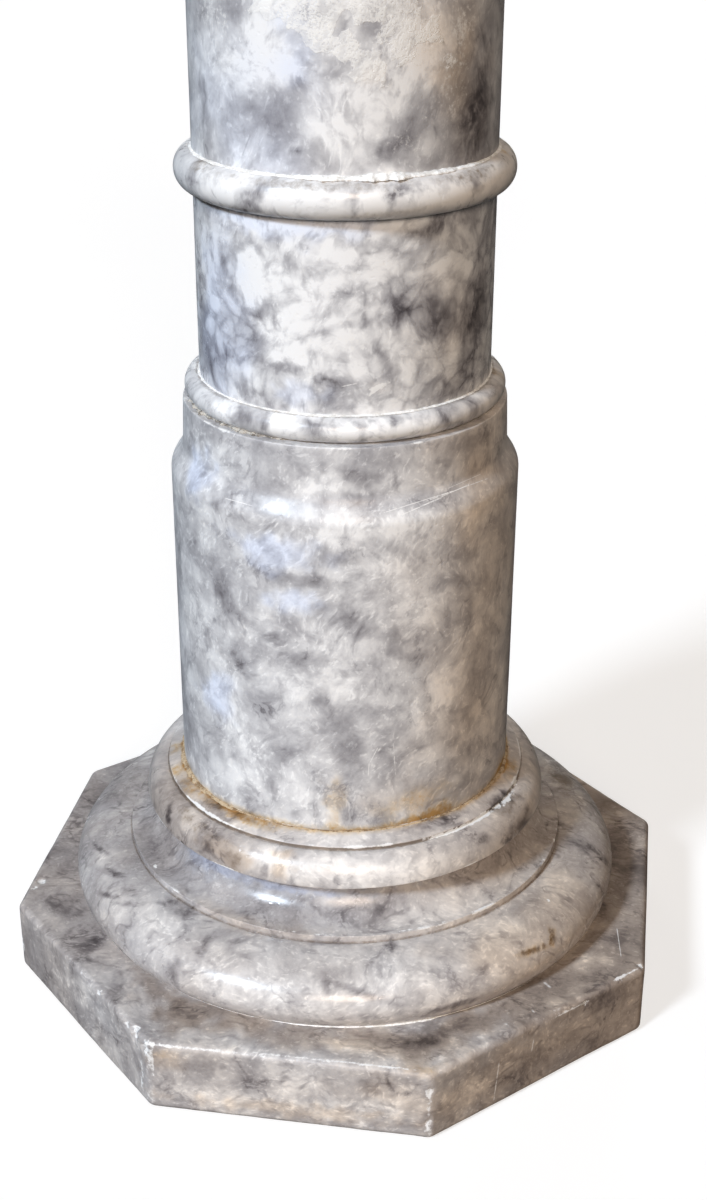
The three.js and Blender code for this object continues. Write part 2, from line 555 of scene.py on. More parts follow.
def scratched(finish, stone, scratches):
    """A share from 0 to 1 along fine scratches, each between two pixels, with its half width."""
    total = 0.0
    for start, end, width in scratches:
        halfway = ((start[0] + end[0]) / 2, (start[1] + end[1]) / 2)
        middle = tuple(stone.points[stone.seen_at(halfway)])
        reach = np.linalg.norm(stone.points[stone.seen_at(start)] - stone.points[stone.seen_at(end)]) / 2
        across = np.cross(sight(start), sight(end))
        across /= np.linalg.norm(across)
        aside = finish.vector("DOT_PRODUCT", finish.vector("SUBTRACT", finish.place, middle), tuple(across))
        away = finish.vector("DISTANCE", finish.place, middle)
        total = total + finish.ease(abs(aside), width, 0.0) * finish.ease(away, reach + 1, reach - 1)
    return total


def marble(
    stone, seed, base, clouds=0.34, nodules=0.12, web=0.04, flecks=0.10, veins=0.15, threads=0.12,
    warmth=0.0, gloss=0.30, cloud_size=30.0, nodule_size=9.0, lean=20.0, scratches=(),
):
    """Veined marble. The numbers say how strongly each kind of figure shows in this stone."""
    finish = Finish(stone.name.replace("marble", "stone"))
    place = finish.vector("ADD", finish.place, tuple(shift * seed for shift in SEED_SHIFT))
    drift = finish.warp(place, size=34.0, reach=18.0)
    curl = finish.warp(drift, size=8.0, reach=4.5)
    big_clouds = finish.noise(drift, cloud_size, detail=2.0) - 0.5
    small_clouds = finish.noise(curl, 0.32 * cloud_size, detail=3.0) - 0.5
    grain = finish.noise(finish.slant(curl, lean, 1.7), size=2.2, detail=2.0) - 0.5
    grit = finish.noise(place, size=2.0, detail=3.0, roughness=0.7) - 0.5
    lobes = finish.ease(finish.cells(curl, nodule_size, "F1") - 1.5 * small_clouds - big_clouds, 0.85, 0.0)
    net = finish.ease(finish.cells(curl, nodule_size, "DISTANCE_TO_EDGE") - 0.5 * grain, 0.17, 0.0)
    ridge = abs(finish.noise(curl, size=44.0, detail=1.0) - 0.5)
    vein_patch = finish.ease(finish.noise(place, size=30.0, detail=1.0) + grain, 0.48, 0.62)
    vein = vein_patch * (0.35 * finish.ease(ridge, 0.016, 0.0) + 0.6 * finish.ease(ridge, 0.06, 0.0))
    strand = abs(finish.noise(finish.slant(curl, lean, 2.2), size=9.0, detail=1.0) - 0.5)
    thread_patch = finish.ease(finish.noise(place, size=12.0, detail=2.0) + 0.4 * big_clouds, 0.50, 0.62)
    thread = thread_patch * finish.ease(strand + 0.10 * grain, 0.07, 0.0)
    tone = base + clouds * (1.8 * big_clouds + 1.5 * small_clouds) + nodules * (lobes - 0.35)
    tone = tone + flecks * (0.8 * finish.ease(grain, 0.06, 0.20) + 1.3 * grain + 1.4 * grit)
    tone = tone - web * net - veins * vein - threads * thread
    tone = tone + finish.mark("tone") * (1.0 + 2.4 * small_clouds + 1.8 * grain)
    colour = finish.ramp(tone, MARBLE_TONES)
    warm = finish.mark("warmth") + warmth + 0.8 * (finish.noise(place, size=45.0, detail=2.0) - 0.5)
    colour = finish.tinted(finish.ease(warm, 0.0, 1.6), colour, WARM_TINT)
    colour = finish.tinted(finish.ease(warm, 0.0, -1.0), colour, COOL_TINT)
    # Dirt, and painted shade in creases, on risers and in cast shadows, darkens and warms the colour.
    grime = finish.ease(finish.mark("grime") + 0.9 * grit, 0.15, 0.85)
    colour = finish.tinted(grime, colour, GRIME_AND_SHADE)
    crumble = finish.noise(place, size=8.0, detail=6.0, roughness=0.68) - 0.5
    crust_edge = finish.ease(finish.mark("crust") + 1.3 * crumble, 0.42, 0.52)
    pits = finish.ease(finish.noise(place, size=1.1, detail=2.0, roughness=0.6) - 0.6 * crumble, 0.47, 0.36)
    crust = crust_edge * (0.45 + 0.55 * finish.ease(crumble + grain, -0.22, 0.12)) * (1.0 - 0.6 * pits)
    colour = finish.mix(0.8 * crust, colour, CHALK)
    rust = finish.ease(finish.mark("rust") + 0.5 * grit + 0.4 * small_clouds, 0.0, 1.0)
    colour = finish.tinted(rust, colour, RUST_WASH)
    rust_specks = finish.ease(finish.mark("rust") + 1.3 * grit + 0.5 * small_clouds, 0.40, 1.15)
    colour = finish.tinted(rust_specks, colour, RUST_DEEP)
    # Chips, scratches and rubbed arrises turn pale; along some edges this is a painted highlight.
    bruise = finish.ease(finish.mark("bruise") + 1.1 * grit, 0.36, 0.72)
    if scratches:
        broken_lines = scratched(finish, stone, scratches) * finish.ease(grit, -0.2, 0.02)
        bruise = finish.maths("MAXIMUM", bruise, broken_lines)
    colour = finish.mix(0.85 * bruise, colour, FRESH_STONE_AND_HIGHLIGHT)
    dull = finish.ease(crust_edge + 0.7 * rust + bruise, 0.0, 1.0)
    pinholes = finish.ease(finish.noise(place, size=3.4, detail=1.0), 0.34, 0.24)
    finish.give("Base Color", colour)
    finish.give("Roughness", gloss + 0.25 * small_clouds + 0.10 * grime + 0.35 * dull)
    finish.give("IOR", MARBLE_IOR)
    finish.emboss(0.3 * grit + 0.9 * crust - 0.5 * pinholes, strength=0.3, distance=0.4)
    return finish.material


def filler(name, pale, dark):
    """Crumbly joint filler in two tones."""
    finish = Finish(name)
    crumbs = finish.noise(finish.place, size=0.9, detail=2.0, roughness=0.6) - 0.5
    relief = finish.noise(finish.place, size=4.0, detail=3.0, roughness=0.6) - 0.5 + 0.6 * crumbs
    finish.give("Base Color", finish.mix(finish.ease(relief, -0.16, 0.10), dark, pale))
    finish.give("Roughness", 0.85)
    finish.emboss(relief, strength=0.5, distance=0.6)
    return finish.material


def set_stone(stone, material, node=None):
    """Puts a finished stone in its place on the column."""
    piece = bpy.data.objects.new(stone.name, stone.mesh())
    piece.data.materials.append(material)
    bpy.context.scene.collection.objects.link(piece)
    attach(piece, "root")
    if node:
        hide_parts(node)


def weather(stone, swell=0.12, wear=0.35):
    """Lets a stone's faces run slightly uneven, and rubs and bruises its arrises here and there, which pales
    them partly as a painted highlight. Its creases darken with dirt and painted shade.
    """
    lumps = swell * mottle(stone.points, size=40.0, seed=stone.seed, octaves=2)
    rub = np.clip(mottle(stone.points, size=9.0, seed=stone.seed + 3) + 0.1, 0, 1)
    stone.raise_by(lumps - wear * stone.arris * rub)
    patchy = smooth_step(-0.1, 0.5, mottle(stone.points, size=14.0, seed=stone.seed + 7))
    # Pale arrises: rubbed wear, and partly a painted highlight.
    stone.marks["bruise"] += 0.75 * stone.arris * patchy
    # Painted shade and dirt darken the creases.
    stone.marks["grime"] += 0.6 * stone.crook


def joint_grime(stone, strength, at_foot=True, at_top=True):
    """Dirt that has settled in a thin uneven line where a stone meets its neighbours."""
    reach = np.maximum(3.0 + 1.8 * mottle(stone.points, size=12.0, seed=stone.seed + GRIME_SEED), 0.5)
    above_foot = stone.run - JOINT_LIP
    below_top = stone.run.max() - JOINT_LIP - stone.run
    share = np.zeros(len(stone.run))
    for is_dirty, gap in ((at_foot, above_foot), (at_top, below_top)):
        if is_dirty:
            share = np.maximum(share, 1 - smooth_step(0.3, 1, gap / reach))
    stone.marks["grime"] += strength * share


def shade_side(stone, bearing, tone, warmth, half_width=65):
    """Painted shade and light: shifts the tone and warmth of one side, which faces a bearing to the right of
    the camera in degrees, for how the light falls there.
    """
    facing = CAMERA_AZIMUTH - math.pi / 2 + math.radians(bearing)
    turn = np.abs((stone.angle - facing + math.pi) % (2 * math.pi) - math.pi)
    share = 1 - smooth_step(0.1, 1, turn / math.radians(half_width))
    stone.marks["tone"] += tone * share
    stone.marks["warmth"] += warmth * share


def cloud_unseen(stone, strength, size=55.0):
    """Broad clouds where the stone faces away from the camera or lies above the picture."""
    away = stone.points - CAMERA_PLACE
    facing = -np.einsum("ij,ij->i", stone.normals, away) / np.linalg.norm(away, axis=1)
    pixel_row = AHEAD_PIXEL[1] - FOCAL_PIXELS * (away @ CAMERA_UP) / (away @ CAMERA_AHEAD)
    unseen = np.maximum(smooth_step(0.25, 0.0, facing), smooth_step(0.0, -120.0, pixel_row))
    bold = np.clip(1.7 * mottle(stone.points * [1, 1, 0.7], size, stone.seed + CLOUD_SEED), -1, 1)
    stone.marks["tone"] += strength * unseen * bold


def patchy_rust(stone, line, seed, size, least, most):
    """Rust along a line of the stone, which runs from its least to its most in patches of about a size."""
    patchy = smooth_step(-0.4, 0.4, mottle(stone.points, size, seed))
    stone.marks["rust"] += line * (least + (most - least) * patchy)


def joint_filler(name, radius, height, reach, rise, fall, amounts, seed, material):
    """A crumbly line of filler in the crook of a joint.

    It lies outside the upper stone's radius, on a stone that falls away by a share of the reach. Its amount
    is given at bearings to the right of the camera, in degrees, and blends between them.
    """
    turns = 900
    buried = 1.5
    least = 0.03
    angle = np.linspace(0, 2 * math.pi, turns, endpoint=False)
    bearing = np.degrees(angle - CAMERA_AZIMUTH) + 90
    share = np.interp(bearing, *zip(*amounts), period=360)
    rim = np.column_stack([radius * np.cos(angle), radius * np.sin(angle), np.full(turns, height)])
    runs = 1 + 0.6 * mottle(rim, size=13.0, seed=seed)
    lumps = 1 + 0.5 * mottle(rim, size=2.4, seed=seed + 1, octaves=2)
    share = np.clip(share * runs * lumps, least, None)
    rows = [(np.full(turns, -buried), -fall * reach * share)]
    for turn in np.radians(np.linspace(0, 90, 7)):
        out = reach * share * math.cos(turn)
        rows.append((out, rise * share * math.sin(turn) - fall * out))
    rows.append((np.full(turns, -buried), rise * share))
    grid = np.empty((len(rows), turns, 3))
    for row, (out, up) in zip(grid, rows):
        row[:] = rim * [1, 1, 0]
        row[:, :2] *= (1 + out / radius)[:, None]
        row[:, 2] = height + up
    stone = Stone(name, grid, np.arange(len(rows)), np.zeros(len(rows)), seed, is_ring=True)
    crumbs = mottle(stone.points, size=1.3, seed=seed + 2, octaves=2)
    stone.raise_by(0.12 * reach * crumbs * np.tile(share, len(rows)))
    set_stone(stone, material)


# Pieces from the floor up, each after the marks that the picture shows on it. A group is a mark, its
# strength and then its patches: a pixel's column and row, half the width and height in millimetres, and
# perhaps a tilt in degrees, a raggedness and a softness.

# Painted shade on the plinth's top along the torus's foot, where it is darker and warmer.
SHADE_UNDER_TORUS = ((300, 1036, 60, 8), (450, 1034, 40, 8), (200, 1012, 30, 7), (560, 990, 30, 10))
PLINTH_MARKS = (
    ("tone", 0.20, (215, 1098, 16, 7), (300, 1085, 10, 6), (75, 985, 12, 8), (350, 1045, 14, 4),
     (405, 1100, 8, 8), (240, 1050, 12, 3), (600, 960, 9, 5), (470, 1095, 9, 8), (330, 1110, 20, 5)),
    ("tone", -0.20, (200, 1068, 8, 4), (385, 1085, 7, 6), (60, 905, 9, 5), (115, 985, 12, 3, -40),
     (95, 945, 10, 3, -50), (120, 835, 16, 4, 20), (420, 1045, 14, 3), (635, 870, 9, 10), (600, 1000, 10, 7),
     (525, 1070, 12, 8), (185, 1110, 14, 3)),
    ("tone", -0.08, (248, 1088, 8, 5), (335, 1080, 7, 5)),
    ("tone", 0.14, (275, 1100, 12, 6), (425, 1062, 16, 7), (470, 1046, 12, 6), (566, 998, 10, 6)),
    # Painted shadow that the torus casts on the plinth's top at its right.
    ("tone", -0.16, (615, 845, 26, 5), (600, 900, 16, 4)),
    # Darker patches, with the painted shade along the torus's foot.
    ("tone", -0.14, *SHADE_UNDER_TORUS, (448, 1112, 8, 6), (590, 1044, 8, 8)),
    ("warmth", 0.5, (160, 1060, 8, 5), (425, 1072, 7, 3), (300, 1110, 40, 4), (520, 1060, 60, 12)),
    # Warmer painted shade along the torus's foot.
    ("warmth", 0.6, *SHADE_UNDER_TORUS),
    # Painted shadow on the plinth's top at the right rear.
    ("grime", 0.40, (608, 806, 14, 8)),
    ("rust", 0.35, (160, 1056, 6, 2), (424, 1071, 4, 2)),
    # Pale worn edges and chips; along the top front and right edges they are partly a painted highlight.
    ("bruise", 0.55, (200, 1049, 24, 0.7), (290, 1057, 26, 0.7), (375, 1065, 20, 0.7), (141, 1068, 1.2, 9),
     (142, 1085, 1, 4), (430, 1105, 1.2, 10), (429, 1128, 1.8, 3), (575, 1008, 12, 0.7), (625, 975, 8, 0.7),
     (100, 990, 1, 0.8)),
)
# Chips: a pixel, then the size and depth in millimetres.
PLINTH_CHIPS = (
    ((133, 1032), 3.2, 1.5), ((126, 1024), 2.2, 1.0), ((143, 1048), 2.4, 1.4), ((141, 1072), 1.8, 0.8),
    ((429, 1122), 2.2, 1.0), ((431, 1092), 1.6, 0.6), ((42, 880), 2.6, 1.2), ((36, 887), 1.8, 0.8),
    ((97, 992), 1.8, 0.6), ((585, 1003), 2.0, 0.5), ((640, 965), 1.8, 0.6),
)
# Scratches: the pixels at both ends, then half the width in millimetres.
PLINTH_SCRATCHES = (
    ((500, 1065), (495, 1100), 0.35), ((533, 1040), (531, 1051), 0.3), ((617, 928), (621, 955), 0.3),
    ((543, 983), (549, 988), 0.7), ((505, 1022), (508, 1024), 0.6), ((533, 1011), (535, 1013), 0.6),
)


def plinth():
    foot, top, apothem = span("octagonal_plinth")
    stone = octagonal("plinth_marble", foot, top, apothem, top_inset=48.0, step=1.5, seed=1)
    weather(stone, swell=0.2, wear=0.4)
    cloud_unseen(stone, strength=0.20)
    shade_side(stone, bearing=80, tone=-0.15, warmth=0.8, half_width=85)
    shade_side(stone, bearing=-100, tone=-0.17, warmth=0.2, half_width=75)
    stone.paint(PLINTH_MARKS)
    for pixel, size, depth in PLINTH_CHIPS:
        stone.bite(pixel, size, depth)
    material = marble(
        stone, seed=1.3, base=0.545, clouds=0.24, nodules=0.06, flecks=0.18, veins=0.22, threads=0.13,
        warmth=0.60, gloss=0.34, cloud_size=24, lean=80, scratches=PLINTH_SCRATCHES,
    )
    set_stone(stone, material, "octagonal_plinth")


BASE_MARKS = (
    ("tone", 0.13, (225, 985, 20, 8), (140, 915, 12, 9), (160, 935, 10, 8), (395, 985, 16, 9),
     (300, 1000, 14, 6), (500, 925, 14, 8), (110, 860, 8, 8), (560, 880, 10, 10), (440, 1000, 10, 5)),
    ("tone", -0.28, (203, 945, 2.2, 8), (237, 942, 4, 1.6, 30), (150, 937, 1.6, 4), (113, 872, 7, 1.5, 25),
     (100, 848, 7, 1.3, 25), (125, 958, 6, 3, -45), (175, 975, 3, 6), (330, 942, 8, 2.5), (325, 985, 2.5, 4),
     (391, 945, 2.5, 3.5), (483, 971, 3, 2.5), (360, 992, 14, 1.6, -20), (455, 1005, 10, 2),
     (535, 985, 10, 2.5), (180, 905, 10, 4), (590, 850, 4, 12), (105, 895, 7, 1.3, 25),
     (128, 905, 6, 1.2, 30)),
    ("tone", -0.10, (270, 905, 10, 2, 25), (330, 915, 4, 3), (378, 910, 5, 2.5)),
    ("tone", 0.15, (500, 888, 30, 9), (445, 908, 24, 8)),
    ("tone", 0.09, (480, 955, 40, 14)),
    ("tone", -0.06, (330, 912, 40, 6)),
    ("tone", -0.13, (396, 998, 12, 5), (300, 998, 10, 4), (138, 785, 14, 14)),
    # Painted shade: a cool tint on the scotia under the ring, at the front and left.
    ("warmth", -1.1, (260, 880, 26, 4), (205, 860, 16, 5), (330, 889, 24, 3)),
    ("warmth", 0.4, (540, 930, 40, 16), (240, 920, 30, 5)),
    ("grime", 0.80, (534, 951, 7.5, 1.6, -8), (552, 936, 1.7, 4.2, -35)),
    # Painted shadow on the torus and scotia at the right rear.
    ("grime", 0.45, (548, 766, 12, 14), (566, 786, 10, 8)),
    ("rust", 0.55, (534, 951, 9, 2.2, -8), (552, 936, 2.4, 5.0, -35)),
    ("bruise", 0.9, (154, 866, 1.4, 1.1), (549, 899, 1.1, 0.9), (554, 840, 1.1, 0.9)),
    # Pale line along the fillet's edge: partly wear, partly a painted highlight.
    ("bruise", 0.4, (340, 935, 40, 0.6), (160, 885, 12, 0.6), (470, 915, 16, 0.6)),
)


def torus_base():
    foot, top, reach = span("torus_base")
    belly = foot + TORUS_BELLY
    depth = reach - FILLET_RADIUS
    seat_turn = math.acos(1 - (reach - TORUS_SEAT) / depth)
    lower_rise = TORUS_BELLY / math.sin(seat_turn)
    fillet_top = foot + TORUS_TOP + FILLET_HEIGHT
    stone = turned("base_marble", [
        straight((TORUS_SEAT - JOINT_LIP, foot), (TORUS_SEAT, foot)),
        ellipse_arc((FILLET_RADIUS, belly), depth, lower_rise, -math.degrees(seat_turn), 0),
        ellipse_arc((FILLET_RADIUS, belly), depth, TORUS_TOP - TORUS_BELLY, 0, 90),
        straight((FILLET_RADIUS, foot + TORUS_TOP), (FILLET_RADIUS, fillet_top)),
        ellipse_arc((FILLET_RADIUS, top), FILLET_RADIUS - SCOTIA_NECK, top - fillet_top, 270, 180),
        straight((SCOTIA_NECK, top), (SCOTIA_NECK - JOINT_LIP, top)),
    ], softness=0.3, step=1.3, turns=460, seed=2)
    weather(stone, swell=0.12, wear=0.2)
    cloud_unseen(stone, strength=0.18)
    shade_side(stone, bearing=62, tone=-0.10, warmth=0.5)
    shade_side(stone, bearing=-78, tone=-0.12, warmth=0.1)
    stone.marks["tone"] -= 0.10 * smooth_step(fillet_top - 0.5, fillet_top + 1, stone.points[:, 2])
    stone.paint(BASE_MARKS)
    joint_grime(stone, strength=0.5)
    material = marble(
        stone, seed=2.1, base=0.60, clouds=0.19, nodules=0.07, flecks=0.15, veins=0.18, threads=0.14,
        warmth=0.52, gloss=0.24, cloud_size=26, lean=65,
    )
    set_stone(stone, material, "torus_base")
    amounts = (
        (-180, 0.05), (-30, 0.05), (-16, 0.15), (-6, 0.6), (5, 0.9), (17, 1.0), (22, 0.2), (35, 0.05),
    )
    joint_filler(
        "plinth_plaster", TORUS_SEAT, foot, reach=1.2, rise=0.7, fall=0.0,
        amounts=amounts, seed=81, material=plaster,
    )


RING_MARKS = (
    ("tone", 0.2, (330, 872, 34, 6), (190, 825, 8, 7), (420, 870, 18, 6), (270, 855, 8, 4)),
    ("tone", -0.35, (264, 870, 1.4, 4), (337, 881, 2.2, 2.2, 35), (168, 815, 2, 6, 40), (483, 838, 2.2, 1.8),
     (500, 800, 10, 3), (430, 825, 14, 2.5), (520, 830, 10, 5)),
    ("tone", -0.16, (205, 845, 6, 2.5), (215, 805, 6, 2)),
    ("tone", 0.16, (178, 768, 8, 6), (196, 793, 9, 4), (240, 826, 14, 3)),
    ("warmth", 0.8, (235, 858, 8, 5), (215, 845, 8, 4), (280, 865, 5, 5)),
    ("grime", 0.5, (236, 860, 6, 4), (185, 815, 6, 4), (510, 800, 16, 5), (205, 830, 10, 3)),
    ("bruise", 0.9, (505, 800, 6, 1.6), (480, 818, 7, 1.4), (450, 832, 7, 1.0), (515, 782, 4, 1.8)),
    ("bruise", 0.5, (465, 826, 6, 1.2), (495, 809, 6, 1.3), (432, 838, 7, 1.0), (511, 791, 4, 1.5)),
    ("bruise", 0.25, (178, 780, 7, 10), (205, 805, 9, 5)),
    ("rust", 0.62, (174, 748, 5, 4.5), (178, 768, 6, 4.5), (190, 785, 7, 3.6), (208, 800, 8, 2.6),
     (231, 814, 9, 2.2), (260, 826, 10, 1.8), (505, 765, 7, 5)),
)


def base_ring():
    foot, top, reach = span("base_ring")
    drum_reach = span("lower_drum")[2]
    arris = foot + RING_ARRIS_HEIGHT
    ledge = RING_ARRIS_RADIUS - RING_LEDGE
    stone = turned("ring_marble", [
        straight((reach - WIDE_LIP, foot), (reach, foot)),
        ellipse_arc((RING_ARRIS_RADIUS, foot), reach - RING_ARRIS_RADIUS, RING_ARRIS_HEIGHT, 0, 90),
        straight(
            (RING_ARRIS_RADIUS, arris), (ledge, arris), (ledge, arris + RING_RISER),
            (drum_reach, top), (drum_reach - JOINT_LIP, top),
        ),
    ], softness=0.22, step=1.0, turns=480, seed=3)
    weather(stone, swell=0.1, wear=0.2)
    cloud_unseen(stone, strength=0.18, size=35.0)
    shade_side(stone, bearing=60, tone=-0.07, warmth=0.5)
    shade_side(stone, bearing=-60, tone=-0.24, warmth=0.5)
    stone.paint(RING_MARKS)
    # Pale arris line: partly wear, partly a painted highlight.
    stone.marks["bruise"] += 0.24 * stone.arris
    # Painted shade on the riser under the ring's top, as a dark line.
    above_ledge = stone.points[:, 2] - arris
    on_riser = smooth_step(0.0, 0.5, above_ledge) * smooth_step(RING_RISER, RING_RISER - 0.5, above_ledge)
    stone.marks["grime"] += 0.6 * on_riser
    rust_line = smooth_step(3.4, 0.6, stone.run.max() - JOINT_LIP - stone.run)
    patchy_rust(stone, rust_line, seed=61, size=16.0, least=0.45, most=0.90)
    joint_grime(stone, strength=0.5, at_top=False)
    material = marble(
        stone, seed=3.7, base=0.68, clouds=0.24, nodules=0.06, flecks=0.14, veins=0.24,
        warmth=0.48, gloss=0.32, cloud_size=24, lean=80,
    )
    set_stone(stone, material, "base_ring")


LOWER_DRUM_MARKS = (
    ("tone", -0.07, (335, 465, 45, 9), (240, 470, 8, 4, 40)),
    # The first two patches here are a painted highlight along the shoulder's lower part.
    ("tone", 0.13, (395, 533, 22, 7), (300, 536, 22, 5), (204, 446, 9, 7), (374, 491, 7, 6),
     (420, 555, 12, 9), (467, 580, 9, 13), (240, 722, 9, 10), (348, 588, 8, 8), (466, 517, 6, 8)),
    ("tone", -0.14, (228, 490, 3, 8, -35), (181, 490, 4, 8), (324, 468, 8, 6), (300, 500, 14, 4),
     (348, 800, 7, 9), (276, 804, 8, 6)),
    # The third patch here is a painted highlight on the shoulder.
    ("tone", 0.18, (280, 553, 18, 7), (290, 605, 10, 7), (400, 525, 18, 5), (215, 690, 12, 16),
     (308, 487, 4, 4), (335, 479, 5, 4), (400, 472, 5, 4), (380, 565, 8, 6), (330, 640, 9, 8),
     (200, 470, 9, 12), (420, 610, 10, 12), (290, 690, 12, 8), (345, 690, 7, 8), (255, 760, 10, 9),
     (430, 700, 14, 10), (187, 535, 4, 2), (206, 541, 4, 3), (330, 545, 6, 6)),
    ("tone", -0.20, (327, 552, 4, 6, 40), (347, 556, 4, 4), (268, 639, 7, 2.2, 25), (352, 622, 4, 11, 20),
     (372, 634, 6, 3), (413, 660, 7, 4, 40), (238, 655, 6, 7), (243, 668, 6, 4), (338, 713, 6, 12),
     (352, 762, 5, 9), (283, 752, 6, 5), (225, 503, 8, 2.5, 35), (360, 478, 8, 4, -20), (350, 500, 10, 3),
     (300, 580, 18, 3), (225, 590, 6, 14, 30), (400, 640, 6, 9, -30), (480, 660, 8, 18), (440, 500, 9, 5),
     (310, 660, 12, 4, 20), (260, 705, 5, 10, 25), (465, 600, 6, 14)),
    ("warmth", -1.0, (280, 555, 20, 8), (290, 605, 11, 7), (200, 470, 10, 12), (215, 690, 12, 14)),
    ("warmth", 0.4, (335, 795, 5, 14), (470, 640, 26, 60), (480, 480, 20, 24), (400, 800, 20, 10)),
    ("rust", 0.46, (334, 804, 5, 13), (415, 803, 18, 7), (180, 745, 3, 9)),
    ("rust", 0.52, (432, 812, 14, 3.5, 8), (500, 768, 8, 7)),
    ("grime", 0.3, (418, 790, 10, 1.6, -4), (448, 796, 6, 1.6, 12)),
    ("bruise", 0.26, (400, 803, 18, 7), (335, 812, 5, 6)),
)
LOWER_DRUM_SCRATCHES = (
    ((385, 512), (455, 490), 0.3), ((415, 508), (470, 483), 0.25), ((430, 500), (490, 478), 0.3),
    ((400, 514), (440, 497), 0.25), ((450, 488), (482, 474), 0.2), ((225, 499), (250, 506), 0.25),
    ((369, 775), (370, 762), 0.3), ((370, 763), (378, 748), 0.3), ((396, 775), (394, 745), 0.18),
    ((377, 750), (379, 748), 0.7), ((384, 745), (386, 743), 0.6), ((396, 739), (398, 737), 0.6),
)


def lower_drum():
    foot, top, reach = span("lower_drum")
    shoulder = foot + SHOULDER_START
    shoulder_top = shoulder + SHOULDER_HEIGHT
    stone = turned("lower_drum_marble", [
        straight((reach - JOINT_LIP, foot), (reach, foot), (reach, shoulder)),
        s_curve((reach, shoulder), (NECK_FOOT, shoulder_top)),
        straight((NECK_FOOT, shoulder_top), (NECK_TOP, top), (NECK_TOP - WIDE_LIP, top)),
    ], softness=0.4, step=1.2, turns=420, seed=4)
    weather(stone)
    cloud_unseen(stone, strength=0.24)
    shade_side(stone, bearing=70, tone=-0.05, warmth=0.6)
    shade_side(stone, bearing=-62, tone=-0.02, warmth=0.0)
    stone.paint(LOWER_DRUM_MARKS)
    rust_line = smooth_step(9.0, 3.5, stone.run)
    patchy_rust(stone, rust_line, seed=62, size=15.0, least=0.46, most=0.86)
    joint_grime(stone, strength=0.3, at_foot=False)
    material = marble(
        stone, seed=4.9, base=0.66, clouds=0.36, nodules=0.10, web=0.03, flecks=0.17, veins=0.20,
        warmth=0.10, gloss=0.38, lean=35, scratches=LOWER_DRUM_SCRATCHES,
    )
    set_stone(stone, material, "lower_drum")
    amounts = (
        (-180, 0.3), (-85, 0.7), (-62, 0.8), (-45, 0.6), (-32, 0.15),
        (0, 0.18), (15, 0.2), (28, 0.3), (45, 0.2), (75, 0.6),
    )
    joint_filler(
        "foot_mortar", reach, foot, reach=2.2, rise=0.4, fall=0.46,
        amounts=amounts, seed=82, material=rusty_mortar,
    )


def bead(node, name, seed, turns=460):
    foot, top, reach = span(node)
    seat = span("shaft")[2] + BEAD_SEAT
    middle = (foot + top) / 2
    stone = turned(name, [
        straight((seat - JOINT_LIP, foot), (seat, foot)),
        ellipse_arc((seat, middle), reach - seat, (top - foot) / 2, -90, 90),
        straight((seat, top), (seat - JOINT_LIP, top)),
    ], softness=0.3, step=0.8, turns=turns, seed=seed)
    weather(stone, swell=0.1, wear=0.2)
    return stone


LOWER_BEAD_MARKS = (
    ("tone", 0.32, (283, 425, 6, 5), (381, 431, 6, 4), (412, 429, 4, 4), (225, 408, 6, 4), (345, 434, 6, 3),
     (430, 424, 4, 4)),
    ("tone", -0.28, (249, 419, 7, 5), (315, 430, 5, 5), (394, 428, 1.5, 5), (265, 424, 1.5, 5),
     (361, 434, 2, 5), (445, 418, 3, 5), (203, 385, 4, 6), (470, 405, 3, 5)),
    ("tone", -0.14, (405, 421, 9, 3), (300, 421, 7, 3)),
    ("rust", 0.6, (497, 372, 4, 4)),
)


def lower_bead():
    stone = bead("lower_bead", "lower_bead_marble", seed=5)
    stone.paint(LOWER_BEAD_MARKS)
    cloud_unseen(stone, strength=0.26, size=22.0)
    shade_side(stone, bearing=60, tone=-0.14, warmth=0.4)
    joint_grime(stone, strength=0.5)
    material = marble(
        stone, seed=5.3, base=0.82, clouds=0.28, nodules=0.16, web=0.10, veins=0.10,
        warmth=0.1, cloud_size=16,
    )
    set_stone(stone, material, "lower_bead")
    foot, top, _ = span("lower_bead")
    seat = span("shaft")[2]
    amounts = ((-180, 0.6), (-40, 0.7), (0, 1.0), (40, 0.8))
    joint_filler(
        "bead_plaster", seat, top, reach=1.1, rise=0.4, fall=0.1,
        amounts=amounts, seed=83, material=plaster,
    )
    amounts = (
        (-180, 0.3), (-80, 0.7), (-62, 0.95), (-35, 0.85), (-24, 0.6), (-10, 0.25), (30, 0.3), (60, 0.15),
    )
    joint_filler(
        "drum_mortar", seat + BEAD_SEAT, foot, reach=5.0, rise=1.6, fall=0.0,
        amounts=amounts, seed=84, material=grey_mortar,
    )


def plain_drum(node, name, seed, step=1.1, turns=420):
    foot, top, reach = span(node)
    inside = reach - JOINT_LIP
    profile = straight((inside, foot), (reach, foot), (reach, top), (inside, top))
    stone = turned(name, [profile], softness=0.35, step=step, turns=turns, seed=seed)
    weather(stone)
    return stone


